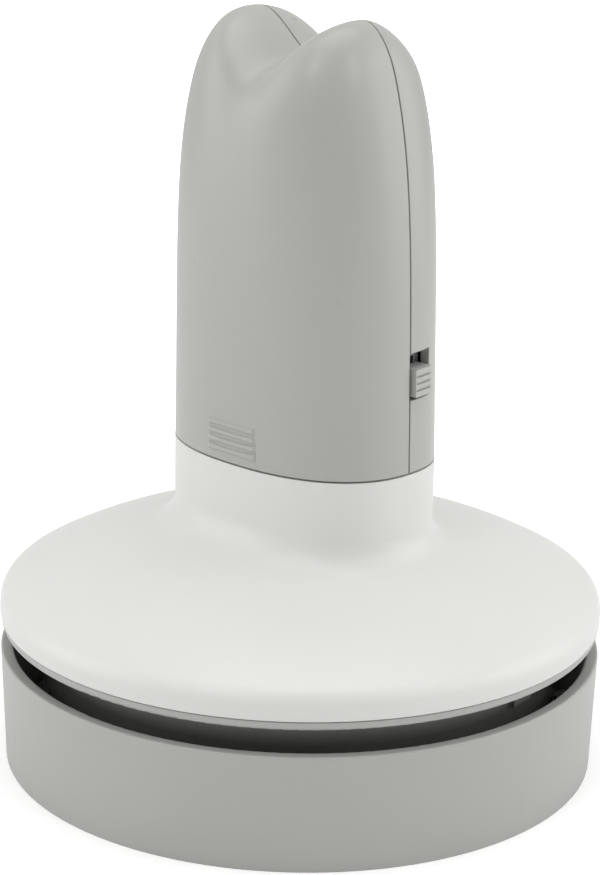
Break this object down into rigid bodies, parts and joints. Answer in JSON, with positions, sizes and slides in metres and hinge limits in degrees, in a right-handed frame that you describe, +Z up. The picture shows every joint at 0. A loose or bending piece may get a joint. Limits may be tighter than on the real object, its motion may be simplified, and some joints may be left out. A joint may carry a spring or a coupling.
{
  "type": "handheld battery suction cleaner",
  "caption": "Small battery suction cleaner: a round disc body over a ring-shaped dust case, with an upright grey handle whose top forms two rounded lobes.",
  "frame": {"origin": "bottom centre of the base ring, on the surface it stands on", "axes": "+Z up along the handle, X along the handle's wide side and its parting seam, -Y towards the front with the battery cover"},
  "size_m": [0.0988, 0.0988, 0.1228],
  "materials": {
    "handle_grey": "fine satin moulding grain",
    "shell_white": "fine satin moulding grain",
    "ring_grey": "satin, slightly warmer on the rim",
    "housing_grey": "satin",
    "smoke": "polished dark smoke",
    "bristle": "fine nylon bristles",
    "seal_rubber": "smooth",
    "frame_black": "satin",
    "filter_felt": "nonwoven felt",
    "fan_plastic": "natural nylon",
    "inner_abs": "unfinished moulding",
    "steel": "zinc plated",
    "bell_plastic": "nylon",
    "brass_tab": "tinned",
    "cell_sleeve": "plain printed-free sleeve",
    "contact_steel": "nickel plated",
    "switch_metal": "tinned can",
    "knob_grey": "satin, ribbed face",
    "lead_red": "smooth insulation",
    "lead_black": "smooth insulation",
    "lead_white": "smooth insulation"
  },
  "bodies": {
    "dust_case": {"base_ring": "ring_grey", "dust_drum": "smoke", "case_screw_1": "steel", "case_screw_2": "steel", "case_screw_3": "steel", "case_screw_4": "steel", "brush_front": "bristle", "brush_rear": "bristle"},
    "head": {"lower_housing": "housing_grey", "collar_seal": "seal_rubber", "filter_frame": "frame_black", "filter_pad": "filter_felt", "motor_can": "steel", "motor_end_bell": "bell_plastic", "motor_terminal_left": "brass_tab", "motor_terminal_right": "brass_tab", "motor_plate": "inner_abs", "plate_screw_1": "steel", "plate_screw_2": "steel", "plate_screw_3": "steel", "disc_shell": "shell_white", "disc_screw_1": "steel", "disc_screw_2": "steel", "disc_screw_3": "steel", "disc_screw_4": "steel", "neck_chassis": "inner_abs", "battery_tray": "inner_abs", "battery_left": "cell_sleeve", "battery_right": "cell_sleeve", "spring_low": "contact_steel", "spring_high": "contact_steel", "contact_negative": "contact_steel", "contact_positive": "contact_steel", "contact_bridge": "contact_steel", "rear_shell": "handle_grey", "shell_screw_1": "steel", "shell_screw_2": "steel", "switch_housing": "switch_metal", "lead_negative": "lead_black", "lead_positive": "lead_red", "lead_motor": "lead_white"},
    "impeller_rotor": {"impeller": "fan_plastic", "motor_shaft": "steel"},
    "switch_slider": {"switch_knob": "knob_grey"},
    "cover": {"battery_cover": "handle_grey"}
  },
  "joints": [
    {"name": "head_lift", "type": "slide", "parent": "dust_case", "child": "head", "axis": [0, 0, 1], "range_m": [0, 0.03]},
    {"name": "impeller_spin", "type": "hinge", "parent": "head", "child": "impeller_rotor", "pos_m": [0, 0, 0.03], "axis": [0, 0, 1], "continuous": true},
    {"name": "switch_slide", "type": "slide", "parent": "head", "child": "switch_slider", "axis": [0, 0, 1], "range_m": [0, 0.002]},
    {"name": "cover_slide", "type": "slide", "parent": "head", "child": "cover", "axis": [0, 0, 1], "range_m": [0, 0.072]}
  ]
}
